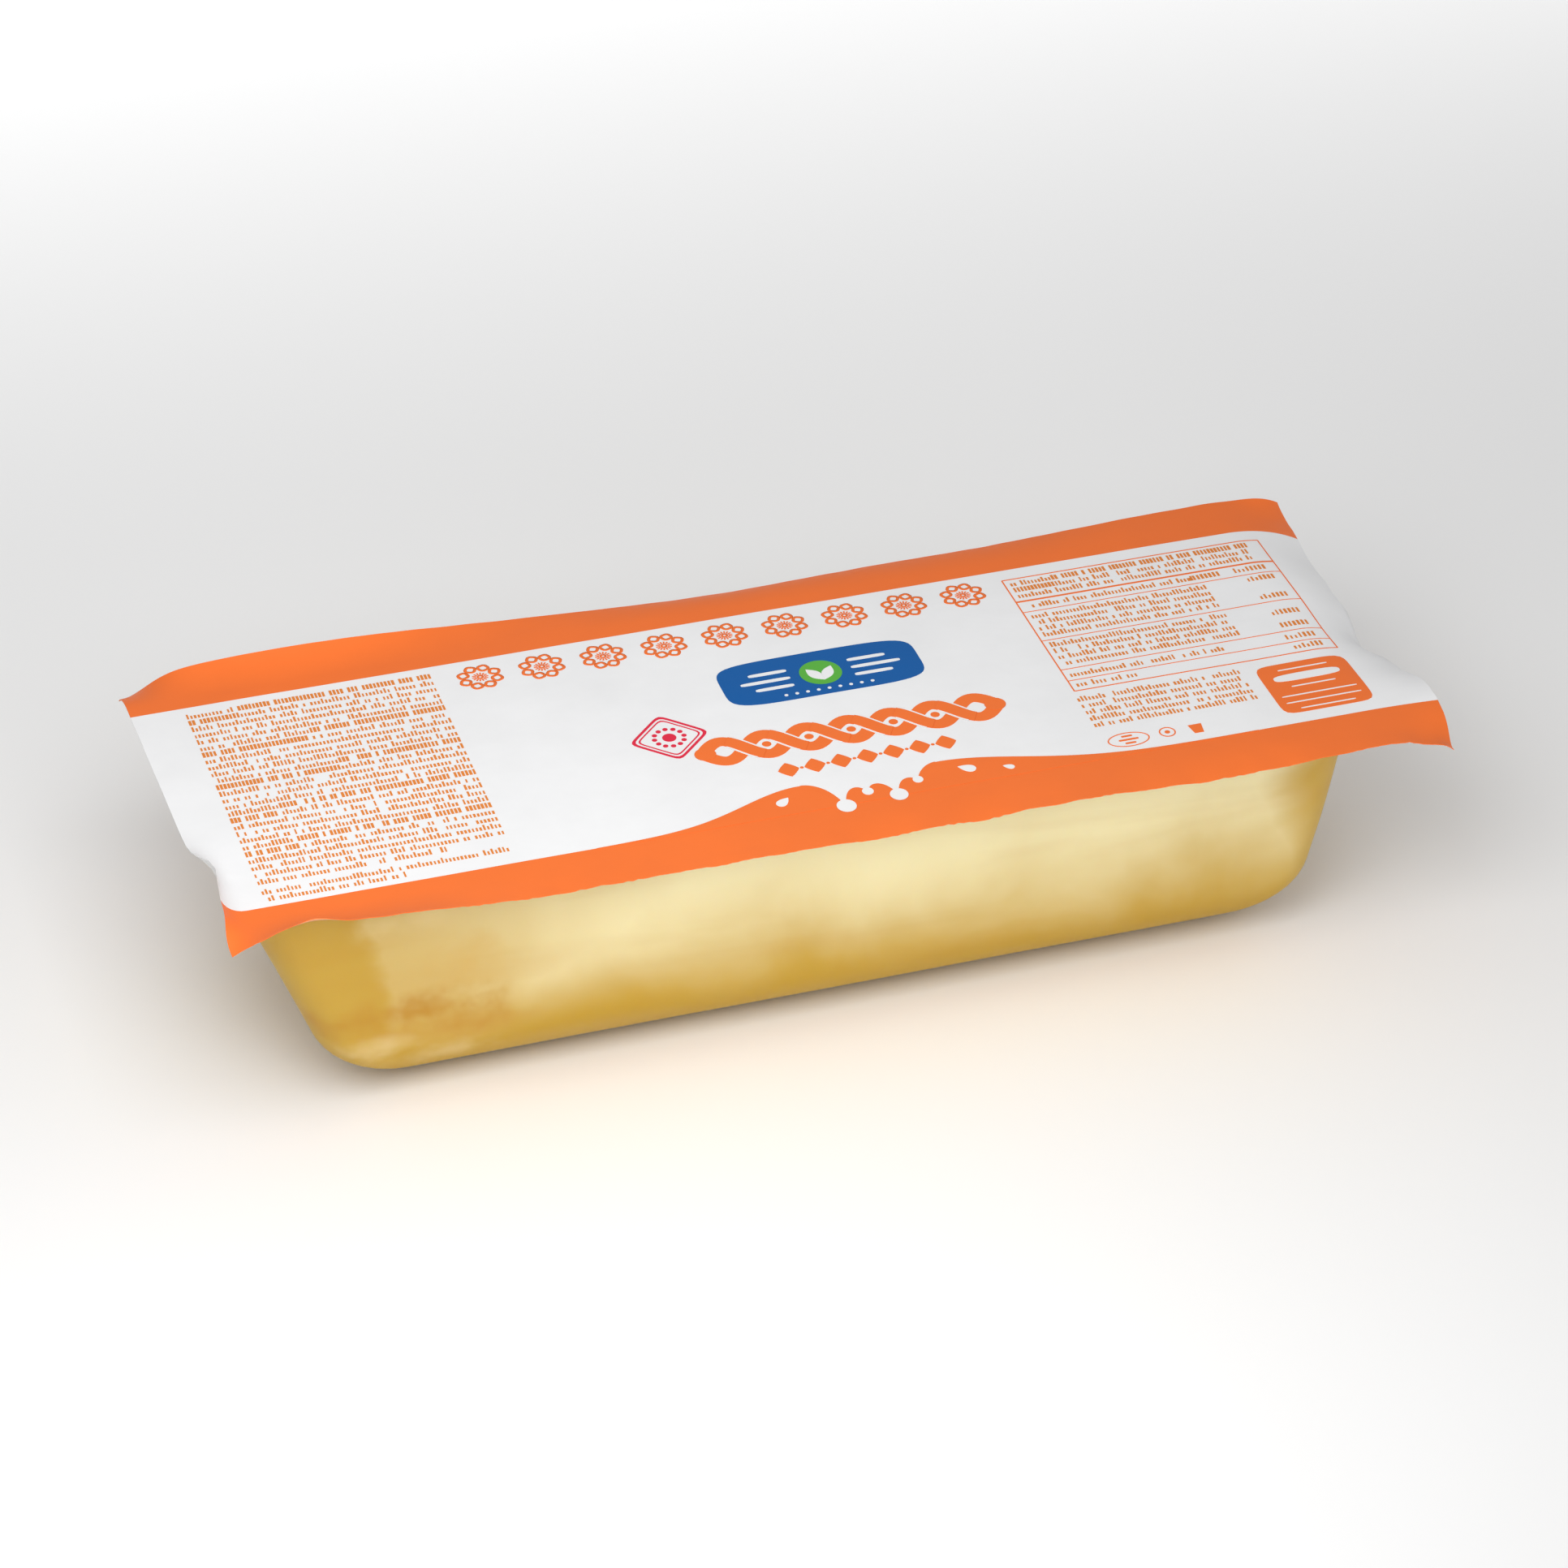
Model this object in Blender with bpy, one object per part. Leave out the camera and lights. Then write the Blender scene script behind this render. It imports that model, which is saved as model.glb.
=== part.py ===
"""A loaf of smoked cheese in a clear formed pocket, sealed under a printed top film.

+X runs along the loaf, +Y goes to its back and +Z up. The pocket stands on its flat base, with the
origin under the film's middle. Sizes are in metres.
"""

import math

import bmesh
import bpy

# Top film: a thin sheet, cut flat to this size, with its left end a little askew.
FILM_LENGTH = 0.2656
FILM_WIDTH = 0.1017
FILM_THICKNESS = 0.0005
LEFT_END_SKEW = 0.0024
SKEW_REACH = 0.035

# Pocket, filled by the loaf. Its rim is off the film's middle along X.
POCKET_LEFT = -0.126
POCKET_RIGHT = 0.1145
POCKET_WIDTH = 0.0824
POCKET_DEPTH = 0.0562
CORNER_RADIUS = 0.0085
BASE_RADIUS = 0.018
# How far each wall leans in, for each unit of depth.
DRAFT_LEFT = 0.37
DRAFT_RIGHT = 0.17
DRAFT_SIDE = 0.09
# Clear space between the pocket and the film.
GAP = 0.0003

# The film's free margins wave. Each wave is its place along the edge, its half-width, and how far it
# drops the edge; a drop below zero lifts it.
BACK_WAVES = (
    (-0.133, 0.009, 0.0047),
    (-0.096, 0.038, -0.0030),
    (0.002, 0.040, 0.0020),
    (0.062, 0.030, 0.0012),
    (0.131, 0.008, -0.0017),
)
FRONT_WAVES = (
    (-0.116, 0.011, -0.0034),
    (-0.095, 0.016, -0.0018),
    (0.004, 0.009, 0.0007),
    (0.026, 0.007, 0.0008),
    (0.082, 0.020, 0.0013),
    (0.133, 0.006, -0.0020),
)
LEFT_WAVES = (
    (-0.054, 0.006, 0.0025),
    (-0.042, 0.007, -0.0025),
    (-0.028, 0.010, -0.0050),
)
RIGHT_WAVES = (
    (0.050, 0.012, 0.0040),
    (0.030, 0.012, 0.0050),
    (0.012, 0.012, 0.0050),
    (-0.005, 0.010, 0.0075),
    (-0.020, 0.007, 0.0030),
    (-0.051, 0.008, 0.0065),
)

# Mesh steps. The film is finer on its margins, where it bends.
MARGIN_STEP = 0.0016
LID_STEP_X = 0.0040
LID_STEP_Y = 0.0060
CORNER_STEPS = 9
WALL_STEPS = 6
BASE_STEPS = 8

FILM_COLOUR = (0.90, 0.28, 0.06, 1.0)
CHEESE_COLOUR = (0.80, 0.62, 0.30, 1.0)


def clear_scene():
    for old in list(bpy.data.objects):
        bpy.data.objects.remove(old, do_unlink=True)


def make_material(name, colour, roughness):
    material = bpy.data.materials.new(name)
    material.use_nodes = True
    shader = material.node_tree.nodes["Principled BSDF"]
    shader.inputs["Base Color"].default_value = colour
    shader.inputs["Roughness"].default_value = roughness
    shader.inputs["Metallic"].default_value = 0.0
    return material


def make_object(name, bm, material):
    bmesh.ops.recalc_face_normals(bm, faces=bm.faces)
    mesh = bpy.data.meshes.new(name)
    bm.to_mesh(mesh)
    bm.free()
    mesh.materials.append(material)
    mesh.shade_smooth()
    mesh.set_sharp_from_angle(angle=math.radians(50))
    piece = bpy.data.objects.new(name, mesh)
    bpy.context.collection.objects.link(piece)
    return piece


def edge_drop(place, waves):
    """How far a margin's edge drops at this place along it."""
    return sum(drop * math.exp(-(((place - middle) / width) ** 2)) for middle, width, drop in waves)


def bend_margin(beyond, margin, drop):
    """How far a point drops and draws in, where the film is this far beyond the pocket's rim."""
    reach = max(beyond, 0.0) / margin
    return drop * reach**2, 2 / 3 * drop**2 / margin * reach**3


def film_point(s, t):
    """Where the point (s, t) of the flat film ends up, with the lid's plane at zero height."""
    half_length = FILM_LENGTH / 2
    half_width = FILM_WIDTH / 2
    rim_y = POCKET_WIDTH / 2
    x = s
    y = t
    z = 0.0
    for side, rim, waves in ((1, POCKET_RIGHT, RIGHT_WAVES), (-1, -POCKET_LEFT, LEFT_WAVES)):
        drop, pull = bend_margin(s * side - rim, half_length - rim, edge_drop(t, waves))
        x -= side * pull
        z -= drop
    for side, waves in ((1, BACK_WAVES), (-1, FRONT_WAVES)):
        drop, pull = bend_margin(t * side - rim_y, half_width - rim_y, edge_drop(s, waves))
        y -= side * pull
        z -= drop
    towards_left_end = max(0.0, 1 - (s + half_length) / SKEW_REACH)
    x += towards_left_end * (half_width - t) / FILM_WIDTH * LEFT_END_SKEW
    return x, y, z


def steps(start, end, step):
    """Evenly spaced values from start up to, but not including, end."""
    count = max(1, round((end - start) / step))
    return [start + (end - start) * i / count for i in range(count)]


def film_rows():
    """The flat film's grid lines along X and along Y."""
    half_length = FILM_LENGTH / 2
    half_width = FILM_WIDTH / 2
    rim_y = POCKET_WIDTH / 2
    along_x = steps(-half_length, POCKET_LEFT, MARGIN_STEP)
    along_x += steps(POCKET_LEFT, POCKET_RIGHT, LID_STEP_X)
    along_x += steps(POCKET_RIGHT, half_length, MARGIN_STEP) + [half_length]
    along_y = steps(-half_width, -rim_y, MARGIN_STEP)
    along_y += steps(-rim_y, rim_y, LID_STEP_Y)
    along_y += steps(rim_y, half_width, MARGIN_STEP) + [half_width]
    return along_x, along_y


def make_film():
    """The printed film with the sealed margin under it, as one thin waving sheet."""
    along_x, along_y = film_rows()
    underside = POCKET_DEPTH + GAP
    bm = bmesh.new()
    layers = []
    for height in (underside, underside + FILM_THICKNESS):
        grid = []
        for s in along_x:
            places = [film_point(s, t) for t in along_y]
            grid.append([bm.verts.new((x, y, z + height)) for x, y, z in places])
        layers.append(grid)
    for grid in layers:
        for i in range(len(along_x) - 1):
            for j in range(len(along_y) - 1):
                a, b, c, d = grid[i][j], grid[i + 1][j], grid[i + 1][j + 1], grid[i][j + 1]
                bm.faces.new((a, b, c))
                bm.faces.new((a, c, d))
    rings = []
    for grid in layers:
        ring = [column[0] for column in grid] + grid[-1][1:]
        ring += [column[-1] for column in grid[-2::-1]] + grid[0][-2:0:-1]
        rings.append(ring)
    low, high = rings
    for i in range(len(low)):
        k = (i + 1) % len(low)
        bm.faces.new((low[i], low[k], high[k]))
        bm.faces.new((low[i], high[k], high[i]))
    return make_object("top_film", bm, make_material("printed_film", FILM_COLOUR, 0.35))


def pocket_levels():
    """Depth below the rim and extra inset of each ring, down the wall and round onto the base."""
    straight = POCKET_DEPTH - BASE_RADIUS
    levels = [(straight * i / WALL_STEPS, 0.0) for i in range(WALL_STEPS)]
    for i in range(BASE_STEPS + 1):
        turn = math.pi / 2 * i / BASE_STEPS
        levels.append((straight + BASE_RADIUS * math.sin(turn), BASE_RADIUS * (1 - math.cos(turn))))
    return levels


def rounded_rectangle(left, right, half_width, radius):
    """Points round a rectangle with round corners, anticlockwise from its +X side."""
    points = []
    corners = (
        (right - radius, half_width - radius, 0),
        (left + radius, half_width - radius, 1),
        (left + radius, radius - half_width, 2),
        (right - radius, radius - half_width, 3),
    )
    for x, y, quarter in corners:
        for i in range(CORNER_STEPS):
            turn = math.pi / 2 * (quarter + i / (CORNER_STEPS - 1))
            points.append((x + radius * math.cos(turn), y + radius * math.sin(turn)))
    return points


def make_pocket():
    """The clear pocket and the loaf that fills it, as one closed solid."""
    bm = bmesh.new()
    rings = []
    for depth, inset in pocket_levels():
        left = POCKET_LEFT + DRAFT_LEFT * depth + inset
        right = POCKET_RIGHT - DRAFT_RIGHT * depth - inset
        half_width = POCKET_WIDTH / 2 - DRAFT_SIDE * depth - inset
        outline = rounded_rectangle(left, right, half_width, CORNER_RADIUS)
        height = POCKET_DEPTH - depth
        rings.append([bm.verts.new((x, y, height)) for x, y in outline])
    for upper, lower in zip(rings, rings[1:]):
        for i in range(len(upper)):
            k = (i + 1) % len(upper)
            bm.faces.new((upper[i], lower[i], lower[k], upper[k]))
    bm.faces.new(rings[0])
    bm.faces.new(rings[-1])
    return make_object("filled_pocket", bm, make_material("smoked_cheese", CHEESE_COLOUR, 0.4))


clear_scene()
make_pocket()
make_film()
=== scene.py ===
import math

import bmesh
import bpy
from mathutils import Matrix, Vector, noise


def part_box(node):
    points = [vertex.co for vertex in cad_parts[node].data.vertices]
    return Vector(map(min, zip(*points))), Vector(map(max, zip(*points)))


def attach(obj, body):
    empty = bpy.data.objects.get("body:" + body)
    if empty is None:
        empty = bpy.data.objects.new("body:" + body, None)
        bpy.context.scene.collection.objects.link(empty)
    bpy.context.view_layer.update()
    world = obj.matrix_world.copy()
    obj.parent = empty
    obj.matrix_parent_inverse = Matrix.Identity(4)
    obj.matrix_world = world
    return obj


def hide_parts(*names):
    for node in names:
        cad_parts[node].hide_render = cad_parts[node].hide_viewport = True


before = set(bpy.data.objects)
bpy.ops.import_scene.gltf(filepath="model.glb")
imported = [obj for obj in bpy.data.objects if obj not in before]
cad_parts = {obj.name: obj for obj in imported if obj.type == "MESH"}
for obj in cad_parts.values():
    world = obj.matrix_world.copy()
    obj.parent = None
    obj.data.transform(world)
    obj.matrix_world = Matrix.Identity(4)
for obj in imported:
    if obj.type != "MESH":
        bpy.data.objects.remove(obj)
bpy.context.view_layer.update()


# The viewpoint
# The pack is seen from its front left and from above, through a long lens, with its near left corner
# lowest in the picture.
CAMERA_PLACE = (-0.2719, -0.8629, 0.6539)
CAMERA_TILT_DOWN = 34.27
CAMERA_TURN = -17.47
CAMERA_LENS = 118.0

camera_data = bpy.data.cameras.new("camera")
camera_data.lens = CAMERA_LENS
camera = bpy.data.objects.new("camera", camera_data)
camera.location = CAMERA_PLACE
camera.rotation_euler = (math.radians(90 - CAMERA_TILT_DOWN), 0, math.radians(CAMERA_TURN))
bpy.context.scene.collection.objects.link(camera)
bpy.context.scene.camera = camera


# The floor and the studio light
# A plain white table runs out of the picture on all sides. A soft box over the front left gives the
# shape, a long one in front fills the loaf's front, a third lights the table behind, and the white room
# does the rest.
FLOOR_SIZE = 12.0
FLOOR_COLOUR = (0.93, 0.93, 0.93, 1.0)
ROOM_LIGHT = 0.52
# Place, what it is aimed at, width, height, spread in degrees, power in watts.
SOFT_BOXES = (
    ((-0.13, -0.22, 0.33), (-0.05, 0.0, 0.05), 0.26, 0.26, 180.0, 0.99),
    ((0.45, -1.20, 0.26), (0.06, 0.0, 0.03), 1.00, 0.45, 180.0, 3.6),
    ((0.15, 1.10, 0.90), (0.15, 0.76, 0.0), 1.40, 0.70, 40.0, 2.6),
)


def new_material(name, inputs):
    """A material with one Principled shader, and its tree."""
    material = bpy.data.materials.new(name)
    material.use_nodes = True
    shader = material.node_tree.nodes["Principled BSDF"]
    for socket, value in inputs.items():
        shader.inputs[socket].default_value = value
    return material, material.node_tree, shader


def add_piece(name, bm, materials):
    """A finished mesh as an object at the origin."""
    mesh = bpy.data.meshes.new(name)
    bm.to_mesh(mesh)
    bm.free()
    for material in materials:
        mesh.materials.append(material)
    piece = bpy.data.objects.new(name, mesh)
    bpy.context.scene.collection.objects.link(piece)
    return piece


floor_mesh = bmesh.new()
bmesh.ops.create_grid(floor_mesh, x_segments=1, y_segments=1, size=FLOOR_SIZE / 2)
floor_paint, _, _ = new_material("floor_paint", {"Base Color": FLOOR_COLOUR, "Roughness": 0.9})
floor = add_piece("floor", floor_mesh, [floor_paint])

room = bpy.data.worlds.new("room")
room.use_nodes = True
room.node_tree.nodes["Background"].inputs["Color"].default_value = (1.0, 1.0, 1.0, 1.0)
room.node_tree.nodes["Background"].inputs["Strength"].default_value = ROOM_LIGHT
bpy.context.scene.world = room
bpy.context.scene.view_settings.view_transform = "Standard"

for number, (place, aim, width, height, spread, power) in enumerate(SOFT_BOXES):
    soft_box = bpy.data.lights.new(f"soft_box_{number}", "AREA")
    soft_box.shape = "RECTANGLE"
    soft_box.size = width
    soft_box.size_y = height
    soft_box.spread = math.radians(spread)
    soft_box.energy = power
    lamp = bpy.data.objects.new(f"soft_box_{number}", soft_box)
    lamp.location = place
    lamp.visible_camera = False
    lamp.rotation_euler = (Vector(aim) - Vector(place)).to_track_quat("-Z", "Y").to_euler()
    bpy.context.scene.collection.objects.link(lamp)


# The loaf
# A log of smoked stretched-curd cheese, pressed into the pocket while it is soft, so that it fills it
# to the walls. Its skin goes from pale straw to gold at the ends and the base, with clouds of amber
# smoke. The gold at the base is partly the skin's own colour and partly painted shade.
CORNER_RADIUS = 0.0085
BASE_RADIUS = 0.018
DRAFT_LEFT = 0.37
DRAFT_RIGHT = 0.17
DRAFT_SIDE = 0.09
# The soft right end wall swells by this much half-way down.
END_BOW = 0.0011
WEB_THICKNESS = 0.00014
LOAF_CLEARANCE = 0.0002
DENT_DEPTH = 0.0005
DENT_SIZE = 0.028
# The dents fade out over this share of the height, at the base and at the rim.
DENT_FADE = 0.15
# Edges that turn more sharply than this stay crisp.
CRISP_ANGLE = math.radians(50)
LONG_STEPS = 84
SHORT_STEPS = 26
CORNER_STEPS = 11
WALL_STEPS = 16
BASE_STEPS = 14

STRAW = (0.87, 0.78, 0.455, 1.0)
GOLD = (0.51, 0.297, 0.007, 1.0)
AMBER = (0.46, 0.215, 0.002, 1.0)
TAN = (0.60, 0.37, 0.08, 1.0)
CREAM = (0.80, 0.65, 0.33, 1.0)

pocket_low, pocket_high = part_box("filled_pocket")
POCKET_DEPTH = pocket_high.z
POCKET_HALF_WIDTH = pocket_high.y


def run(start, end, count):
    """Evenly spaced points from start up to, but not including, end."""
    return [tuple(a + (b - a) * i / count for a, b in zip(start, end)) for i in range(count)]


def rounded_ring(left, right, half_width, radius, square=False):
    """Points round a rectangle, anticlockwise. Its corners are arcs, or are driven out to a point."""
    corners = (
        (right - radius, half_width - radius, 0),
        (left + radius, half_width - radius, 1),
        (left + radius, radius - half_width, 2),
        (right - radius, radius - half_width, 3),
    )
    arcs = []
    for x, y, quarter in corners:
        arc = []
        for i in range(CORNER_STEPS):
            turn = math.pi / 2 * (quarter + i / (CORNER_STEPS - 1))
            reach = radius
            if square:
                reach = radius / max(abs(math.cos(turn)), abs(math.sin(turn)))
            arc.append((x + reach * math.cos(turn), y + reach * math.sin(turn)))
        arcs.append(arc)
    points = []
    for quarter, arc in enumerate(arcs):
        points += arc[:-1]
        steps = SHORT_STEPS if quarter % 2 else LONG_STEPS
        points += run(arc[-1], arcs[(quarter + 1) % 4][0], steps)
    return points


def pocket_rings(clearance):
    """Rings from the base's edge up to the rim, as points in space, this far inside the pocket."""
    straight = POCKET_DEPTH - BASE_RADIUS
    levels = []
    for i in range(BASE_STEPS + 1):
        turn = math.pi / 2 * (1 - i / BASE_STEPS)
        levels.append((straight + BASE_RADIUS * math.sin(turn), BASE_RADIUS * (1 - math.cos(turn))))
    for i in range(1, WALL_STEPS + 1):
        levels.append((straight * (1 - i / WALL_STEPS), 0.0))
    rings = []
    for depth, inset in levels:
        inset += clearance
        left = pocket_low.x + DRAFT_LEFT * depth + inset
        bow = END_BOW * math.sin(math.pi * depth / POCKET_DEPTH)
        right = pocket_high.x - DRAFT_RIGHT * depth - inset + bow
        half_width = POCKET_HALF_WIDTH - DRAFT_SIDE * depth - inset
        ring = rounded_ring(left, right, half_width, CORNER_RADIUS)
        height = POCKET_DEPTH - depth + clearance * depth / POCKET_DEPTH
        rings.append([(x, y, height) for x, y in ring])
    return rings


def loft(bm, rings):
    """Skins neighbouring rings of equal count with quads, and returns the rings' vertices."""
    made = [[bm.verts.new(point) for point in ring] for ring in rings]
    for lower, upper in zip(made, made[1:]):
        for i in range(len(lower)):
            k = (i + 1) % len(lower)
            bm.faces.new((lower[i], lower[k], upper[k], upper[i]))
    return made


def dent(place):
    """How far the loaf's skin is pressed in at this place. The base and the rim stay as they are."""
    share = min(place.z, POCKET_DEPTH - place.z) / (DENT_FADE * POCKET_DEPTH)
    fade = min(max(share, 0.0), 1.0)
    broad = noise.noise(Vector((place.x * 0.6, place.y, place.z * 1.4)) / DENT_SIZE)
    fine = noise.noise(place / (DENT_SIZE * 0.3) + Vector((7, 3, 1)))
    return DENT_DEPTH * fade * (0.5 + 0.5 * (0.8 * broad + 0.2 * fine))


def press_in(bm):
    """Presses soft dents into a lofted pocket or loaf."""
    bm.normal_update()
    for vertex in bm.verts:
        vertex.co -= vertex.normal * dent(vertex.co)


def add_node(tree, kind, settings, inputs):
    """A node with these settings. Its inputs are plain values or other nodes' outputs."""
    made = tree.nodes.new(kind)
    for name, value in settings.items():
        setattr(made, name, value)
    for name, value in inputs.items():
        if isinstance(value, bpy.types.NodeSocket):
            tree.links.new(value, made.inputs[name])
        else:
            made.inputs[name].default_value = value
    return made


def maths(tree, operation, *values):
    """One step of arithmetic on numbers or other nodes' outputs."""
    return add_node(tree, "ShaderNodeMath", {"operation": operation}, dict(enumerate(values))).outputs[0]


def remap(tree, value, given, wanted, course="LINEAR"):
    """Turns the given range of a value into the wanted one, straight or by this course."""
    ends = {"From Min": given[0], "From Max": given[1], "To Min": wanted[0], "To Max": wanted[1]}
    settings = {"interpolation_type": course}
    return add_node(tree, "ShaderNodeMapRange", settings, {"Value": value, **ends}).outputs[0]


def soft_noise(tree, place, **inputs):
    """Smooth noise at a place, with these inputs of the noise set."""
    return add_node(tree, "ShaderNodeTexNoise", {}, {"Vector": place, **inputs}).outputs["Fac"]


def stretch(tree, place, scale):
    """A place scaled along each axis, to draw a pattern out."""
    return add_node(tree, "ShaderNodeMapping", {}, {"Vector": place, "Scale": scale}).outputs[0]


def add_relief(tree, shader, height, strength, distance):
    """Fine relief on a shader, and the normal that it gives."""
    inputs = {"Height": height, "Strength": strength, "Distance": distance}
    normal = add_node(tree, "ShaderNodeBump", {}, inputs).outputs[0]
    tree.links.new(normal, shader.inputs["Normal"])
    return normal


def new_group(name, kind, inputs, outputs):
    """A node group with these sockets, given as name: type, and its two end nodes."""
    tree = bpy.data.node_groups.new(name, kind)
    for socket, socket_type in inputs.items():
        tree.interface.new_socket(socket, in_out="INPUT", socket_type=socket_type)
    for socket, socket_type in outputs.items():
        tree.interface.new_socket(socket, in_out="OUTPUT", socket_type=socket_type)
    return tree, tree.nodes.new("NodeGroupInput"), tree.nodes.new("NodeGroupOutput")


def blend_colour(tree, factor, low, high):
    """Mixes two colours by a factor."""
    return add_node(tree, "ShaderNodeMix", {"data_type": "RGBA"}, {0: factor, 6: low, 7: high}).outputs[2]


def build_soft_patch():
    """A cloud round a point: 1 in its middle, fading out unevenly at its edge."""
    tree, start, end = new_group(
        "soft_patch",
        "ShaderNodeTree",
        {"Place": "NodeSocketVector", "Centre": "NodeSocketVector", "Reach": "NodeSocketVector"},
        {"Mask": "NodeSocketFloat"},
    )
    given = start.outputs

    def vector_maths(operation, *values):
        return add_node(tree, "ShaderNodeVectorMath", {"operation": operation}, dict(enumerate(values)))

    away = vector_maths("SUBTRACT", given["Place"], given["Centre"])
    share = vector_maths("DIVIDE", away.outputs[0], given["Reach"])
    length = vector_maths("LENGTH", share.outputs[0]).outputs["Value"]
    warp = soft_noise(tree, given["Place"], Scale=120.0, Detail=4.0, Roughness=0.6)
    uneven = maths(tree, "MULTIPLY_ADD", warp, 1.8, length)
    mask = remap(tree, uneven, (0.7, 2.0), (1.0, 0.0), "SMOOTHSTEP")
    tree.links.new(mask, end.inputs["Mask"])
    return tree


soft_patch = build_soft_patch()

# The gold begins and ends at these heights, and its edges wander by this much. Towards the base it
# is partly the skin's own smoked colour and partly painted shade.
GOLD_AND_BASE_SHADE_HEIGHTS = (0.010, 0.049)
EDGE_SWING = 0.006
# Each patch: its colour, its strength, its middle and its reach along X, Y and Z.
SMOKE_PATCHES = (
    (TAN, 0.60, (-0.086, -0.036, 0.018), (0.018, 0.030, 0.010)),
    (AMBER, 1.00, (-0.0945, -0.036, 0.0240), (0.026, 0.030, 0.0068)),
    (AMBER, 0.55, (-0.085, -0.036, 0.0185), (0.022, 0.030, 0.0050)),
    (CREAM, 0.45, (-0.0975, -0.034, 0.0165), (0.012, 0.030, 0.0042)),
    (CREAM, 0.35, (-0.086, -0.034, 0.0110), (0.016, 0.030, 0.0045)),
    (CREAM, 0.35, (-0.091, -0.041, 0.0490), (0.020, 0.016, 0.0060)),
    (TAN, 0.50, (-0.079, -0.038, 0.036), (0.012, 0.020, 0.010)),
    (AMBER, 0.45, (0.060, 0.040, 0.030), (0.040, 0.020, 0.012)),
    (AMBER, 0.40, (0.104, 0.012, 0.022), (0.020, 0.020, 0.010)),
)
# Each stain of gold at an end: the way in from it, its rim, the lean of the stain's edge, where it
# starts and stops fading, and its strength.
END_STAINS = (
    (1, pocket_low.x, 0.20, 0.0190, 0.0310, 0.95),
    (1, pocket_low.x, DRAFT_LEFT, 0.0200, 0.0980, 0.72),
    (-1, pocket_high.x, DRAFT_RIGHT, 0.0040, 0.0220, 0.90),
)


def build_cheese():
    """Straw on the upper walls, gold at the ends, gold low down that is partly painted shade, then
    streaks and patches of smoke.
    """
    material, tree, shader = new_material(
        "smoked_cheese",
        {
            "Subsurface Weight": 0.18,
            "Subsurface Radius": (1.0, 0.55, 0.20),
            "Subsurface Scale": 0.004,
            "Specular IOR Level": 0.22,
        },
    )
    place = tree.nodes.new("ShaderNodeTexCoord").outputs["Object"]
    parts = add_node(tree, "ShaderNodeSeparateXYZ", {}, {0: place}).outputs
    cloud = soft_noise(tree, place, Scale=26.0, Detail=4.0, Roughness=0.5, Distortion=0.4)
    swing = remap(tree, cloud, (0.3, 0.7), (-EDGE_SWING, EDGE_SWING))
    height = maths(tree, "ADD", parts["Z"], swing)
    # Darker and more golden towards the base: partly the skin's own smoked colour, partly painted shade.
    gold_and_base_shade = remap(tree, height, GOLD_AND_BASE_SHADE_HEIGHTS, (1.0, 0.0), "SMOOTHSTEP")
    for side, rim, lean, near, far, share in END_STAINS:
        # Distance in from an end wall that leans this much.
        leant = maths(tree, "MULTIPLY_ADD", parts["Z"], lean, -side * rim - lean * POCKET_DEPTH)
        inward = maths(tree, "MULTIPLY_ADD", parts["X"], side, leant)
        wandering = maths(tree, "ADD", inward, swing)
        end = remap(tree, wandering, (near, far), (share, 0.0), "SMOOTHSTEP")
        gold_and_base_shade = maths(tree, "MAXIMUM", gold_and_base_shade, end)
    colour = blend_colour(tree, gold_and_base_shade, STRAW, GOLD)
    drawn_out = stretch(tree, place, (9.0, 24.0, 60.0))
    streaks = soft_noise(tree, drawn_out, Scale=1.0, Detail=5.0, Distortion=0.8)
    colour = blend_colour(tree, remap(tree, streaks, (0.5, 0.85), (0.0, 0.35)), colour, AMBER)
    for patch_colour, strength, centre, reach in SMOKE_PATCHES:
        inputs = {"Place": place, "Centre": centre, "Reach": reach}
        patch = add_node(tree, "ShaderNodeGroup", {"node_tree": soft_patch}, inputs).outputs[0]
        colour = blend_colour(tree, maths(tree, "MULTIPLY", patch, strength), colour, patch_colour)
    tree.links.new(colour, shader.inputs["Base Color"])
    tree.links.new(remap(tree, cloud, (0.3, 0.7), (0.42, 0.60)), shader.inputs["Roughness"])
    grain = soft_noise(tree, place, Scale=420.0, Detail=3.0)
    add_relief(tree, shader, grain, 0.12, 0.0004)
    return material


loaf_mesh = bmesh.new()
loaf_rings = loft(loaf_mesh, pocket_rings(LOAF_CLEARANCE))
loaf_mesh.faces.new(loaf_rings[0][::-1])
loaf_mesh.faces.new(loaf_rings[-1])
press_in(loaf_mesh)
loaf = add_piece("cheese_loaf", loaf_mesh, [build_cheese()])
loaf.data.shade_smooth()
loaf.data.set_sharp_from_angle(angle=CRISP_ANGLE)
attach(loaf, "root")
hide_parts("filled_pocket")


# The clear web
# One sheet of clear film, formed hot into the pocket. It lies tight on the loaf, turns out at the rim
# and runs on as a flat margin under the printed film, to which it is sealed.
FILM_LENGTH = 0.2656
FILM_WIDTH = 0.1017
LEFT_END_SKEW = 0.0024
SKEW_REACH = 0.035
MARGIN_GAP = 0.0003
MARGIN_UNDERSIDE = POCKET_DEPTH + MARGIN_GAP
# The margin starts this share of the way out, and its cut edge is this far inside the printed film's.
MARGIN_START = 0.04
MARGIN_INSET = 0.0003
OUTER_CORNER = 0.0095
FLANGE_STEPS = 12
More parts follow.
